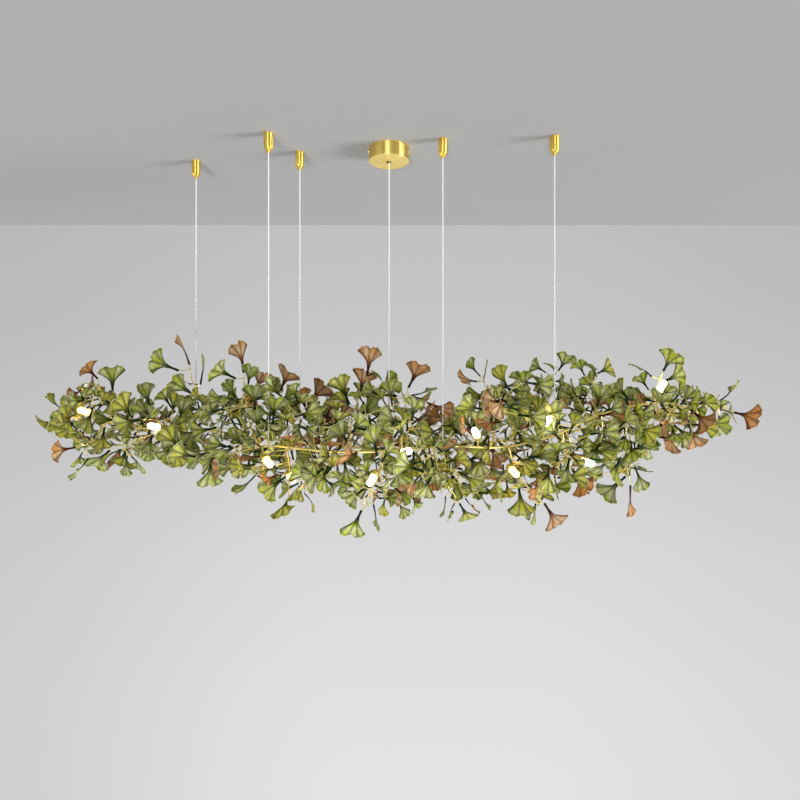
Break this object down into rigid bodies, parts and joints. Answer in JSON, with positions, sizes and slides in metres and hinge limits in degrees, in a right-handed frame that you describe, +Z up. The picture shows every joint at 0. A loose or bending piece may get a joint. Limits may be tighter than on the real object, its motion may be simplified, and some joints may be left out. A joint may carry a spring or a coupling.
{
  "type": "leaf branch pendant light",
  "caption": "Long pendant light made as a branch of ginkgo leaves with small bulbs, hung level on wires from ceiling grippers and fed through a round brass canopy.",
  "frame": {"origin": "middle of the canopy's ceiling face, on the ceiling plane", "axes": "+Z up, +X along the branch to the right as seen in the picture, +Y away from that viewer"},
  "size_m": [1.7366, 0.3365, 0.964],
  "materials": {
    "polished_brass": "polished",
    "satin_brass": "satin",
    "branch_brass": "satin",
    "dark_brass": "satin",
    "plain_brass": "satin",
    "zinc_steel": "satin",
    "spring_steel": "satin",
    "ball_steel": "polished",
    "wire_steel": "satin",
    "clear_cable": "gloss",
    "terminal_plastic": "matte",
    "seat_ceramic": "matte",
    "bulb_glass": "gloss",
    "leaf_green": "gloss",
    "leaf_amber": "gloss"
  },
  "bodies": {
    "ceiling_set": {"canopy_cup": "polished_brass", "canopy_bracket": "zinc_steel", "canopy_side_screws": "polished_brass", "terminal_block": "terminal_plastic", "terminal_sleeves": "plain_brass", "cable_gland": "dark_brass", "gland_nut": "zinc_steel", "gripper_barrels": "satin_brass", "gripper_caps": "zinc_steel", "feed_cable": "clear_cable", "plunger_spring_1": "spring_steel", "plunger_spring_2": "spring_steel", "plunger_spring_3": "spring_steel", "plunger_spring_4": "spring_steel", "plunger_spring_5": "spring_steel", "suspension_wire_1": "wire_steel", "suspension_wire_2": "wire_steel", "suspension_wire_3": "wire_steel", "suspension_wire_4": "wire_steel", "suspension_wire_5": "wire_steel"},
    "branch": {"rear_stem": "branch_brass", "front_stem": "branch_brass", "stem_bridges": "branch_brass", "side_stems": "branch_brass", "wire_ferrules": "branch_brass", "junction_barrel": "branch_brass", "bulb_arms": "branch_brass", "bulb_holders": "branch_brass", "holder_seats": "seat_ceramic", "bulbs": "bulb_glass", "twigs_1": "branch_brass", "twigs_2": "branch_brass", "twigs_3": "branch_brass", "twigs_4": "branch_brass", "twigs_5": "branch_brass", "twigs_6": "branch_brass", "green_leaves_1": "leaf_green", "green_leaves_2": "leaf_green", "green_leaves_3": "leaf_green", "green_leaves_4": "leaf_green", "green_leaves_5": "leaf_green", "green_leaves_6": "leaf_green", "amber_leaves_1": "leaf_amber", "amber_leaves_2": "leaf_amber", "amber_leaves_3": "leaf_amber", "amber_leaves_4": "leaf_amber", "amber_leaves_5": "leaf_amber", "amber_leaves_6": "leaf_amber"},
    "gripper_plunger_1": {"plunger_1": "satin_brass", "locking_balls_1": "ball_steel"},
    "gripper_plunger_2": {"plunger_2": "satin_brass", "locking_balls_2": "ball_steel"},
    "gripper_plunger_3": {"plunger_3": "satin_brass", "locking_balls_3": "ball_steel"},
    "gripper_plunger_4": {"plunger_4": "satin_brass", "locking_balls_4": "ball_steel"},
    "gripper_plunger_5": {"plunger_5": "satin_brass", "locking_balls_5": "ball_steel"}
  },
  "joints": [
    {"name": "hang_height", "type": "slide", "parent": "ceiling_set", "child": "branch", "axis": [0, 0, 1], "range_m": [0, 0.3], "deforming": ["suspension_wire_1", "suspension_wire_2", "suspension_wire_3", "suspension_wire_4", "suspension_wire_5", "feed_cable"]},
    {"name": "gripper_release_1", "type": "slide", "parent": "ceiling_set", "child": "gripper_plunger_1", "axis": [0, 0, 1], "range_m": [0, 0.0025], "stiffness_N_per_m": 60, "springref_m": -0.003, "deforming": ["plunger_spring_1"]},
    {"name": "gripper_release_2", "type": "slide", "parent": "ceiling_set", "child": "gripper_plunger_2", "axis": [0, 0, 1], "range_m": [0, 0.0025], "stiffness_N_per_m": 60, "springref_m": -0.003, "deforming": ["plunger_spring_2"]},
    {"name": "gripper_release_3", "type": "slide", "parent": "ceiling_set", "child": "gripper_plunger_3", "axis": [0, 0, 1], "range_m": [0, 0.0025], "stiffness_N_per_m": 60, "springref_m": -0.003, "deforming": ["plunger_spring_3"]},
    {"name": "gripper_release_4", "type": "slide", "parent": "ceiling_set", "child": "gripper_plunger_4", "axis": [0, 0, 1], "range_m": [0, 0.0025], "stiffness_N_per_m": 60, "springref_m": -0.003, "deforming": ["plunger_spring_4"]},
    {"name": "gripper_release_5", "type": "slide", "parent": "ceiling_set", "child": "gripper_plunger_5", "axis": [0, 0, 1], "range_m": [0, 0.0025], "stiffness_N_per_m": 60, "springref_m": -0.003, "deforming": ["plunger_spring_5"]}
  ]
}
